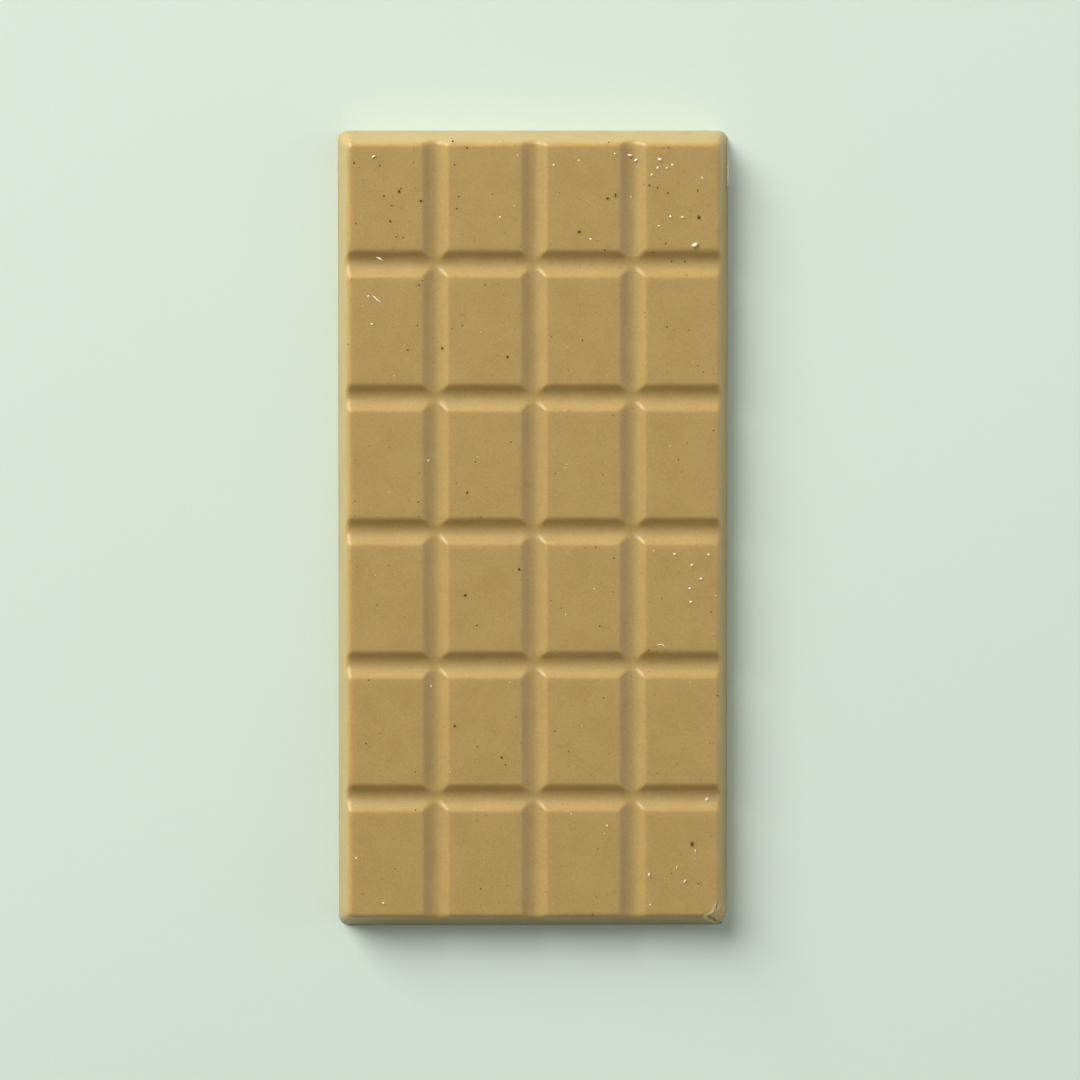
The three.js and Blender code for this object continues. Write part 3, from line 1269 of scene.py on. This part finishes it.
def aim(thing, target):
    """Turns a light or camera to look at a point, with +Y up in its picture."""
    back = (thing.location - target).normalized()
    right = Vector((0, 1, 0)).cross(back).normalized()
    up = back.cross(right)
    turn = Matrix((right, up, back)).transposed()
    thing.rotation_euler = turn.to_euler()


def add_soft_light(name, place, size, power):
    """Adds a square soft light that looks at the bar from a bearing and an elevation."""
    bearing, elevation, distance = place
    data = bpy.data.lights.new(name, "AREA")
    data.shape = "SQUARE"
    data.size = size
    data.energy = power
    light = bpy.data.objects.new(name, data)
    flat = math.cos(elevation)
    towards = Vector((flat * math.cos(bearing), flat * math.sin(bearing), math.sin(elevation)))
    light.location = towards * distance
    bpy.context.scene.collection.objects.link(light)
    aim(light, Vector((0, 0, 0)))


def add_floor(color):
    """Adds the plain floor just under the bar."""
    bm = bmesh.new()
    bmesh.ops.create_grid(bm, x_segments=1, y_segments=1, size=FLOOR_SIZE / 2)
    bmesh.ops.translate(bm, verts=bm.verts, vec=(0, 0, -FLOOR_GAP))
    floor = new_object("floor", bm)
    floor.data.materials.append(floor_material(color))


def add_world(strength):
    """Adds the even light from all round."""
    world = bpy.data.worlds.new("studio")
    world.use_nodes = True
    background = world.node_tree.nodes["Background"]
    background.inputs["Color"].default_value = (*WORLD_COLOR, 1)
    background.inputs["Strength"].default_value = strength
    bpy.context.scene.world = world


def add_camera():
    """Adds the camera at the photograph's view and makes it the scene's."""
    data = bpy.data.cameras.new("camera")
    data.sensor_width = CAMERA_SENSOR
    data.lens = CAMERA_LENS
    camera = bpy.data.objects.new("camera", data)
    camera.location = CAMERA_PLACE
    bpy.context.scene.collection.objects.link(camera)
    aim(camera, CAMERA_AIM)
    bpy.context.scene.camera = camera


class AddStage(bpy.types.Operator):
    """Add the floor, the lights and the camera"""

    bl_idname = "chocolate.add_stage"
    bl_label = "Add Stage"

    def execute(self, context):
        stage = context.scene.stage_settings
        add_floor(stage.floor_color)
        add_soft_light("key_light", KEY_PLACE, KEY_SIZE, stage.key_power)
        add_soft_light("side_light", SIDE_PLACE, SIDE_SIZE, stage.side_power)
        add_soft_light("low_light", LOW_PLACE, LOW_SIZE, stage.low_power)
        add_world(stage.fill_strength)
        add_camera()
        context.scene.view_settings.view_transform = "Standard"
        return {"FINISHED"}


class ChocolatePanel(bpy.types.Panel):
    """The bar's operators and their settings"""

    bl_idname = "VIEW3D_PT_chocolate_bar"
    bl_label = "Chocolate Bar"
    bl_space_type = "VIEW_3D"
    bl_region_type = "UI"
    bl_category = "Chocolate"

    def draw(self, context):
        for operator in OPERATORS:
            self.layout.operator(operator.bl_idname)
        for settings in (
            context.scene.bar_sizes,
            context.scene.chocolate_finish,
            context.scene.stage_settings,
        ):
            box = self.layout.box()
            for name in settings.bl_rna.properties.keys():
                if name not in ("rna_type", "name"):
                    box.prop(settings, name)


OPERATORS = (AddStage, AddBar, AddCrumbs, AddSpecks, AddFragments)
SETTINGS = (BarSizes, ChocolateFinish, StageSettings)


def register():
    for kind in (*SETTINGS, *OPERATORS, ChocolatePanel):
        bpy.utils.register_class(kind)
    bpy.types.Scene.bar_sizes = bpy.props.PointerProperty(type=BarSizes)
    bpy.types.Scene.chocolate_finish = bpy.props.PointerProperty(type=ChocolateFinish)
    bpy.types.Scene.stage_settings = bpy.props.PointerProperty(type=StageSettings)


def unregister():
    del bpy.types.Scene.stage_settings
    del bpy.types.Scene.chocolate_finish
    del bpy.types.Scene.bar_sizes
    for kind in reversed((*SETTINGS, *OPERATORS, ChocolatePanel)):
        bpy.utils.unregister_class(kind)


def main():
    register()
    bpy.ops.chocolate.add_stage()
    bpy.ops.chocolate.add_bar()
    bpy.ops.chocolate.add_crumbs()
    bpy.ops.chocolate.add_specks()
    bpy.ops.chocolate.add_fragments()


if __name__ == "__main__":
    main()
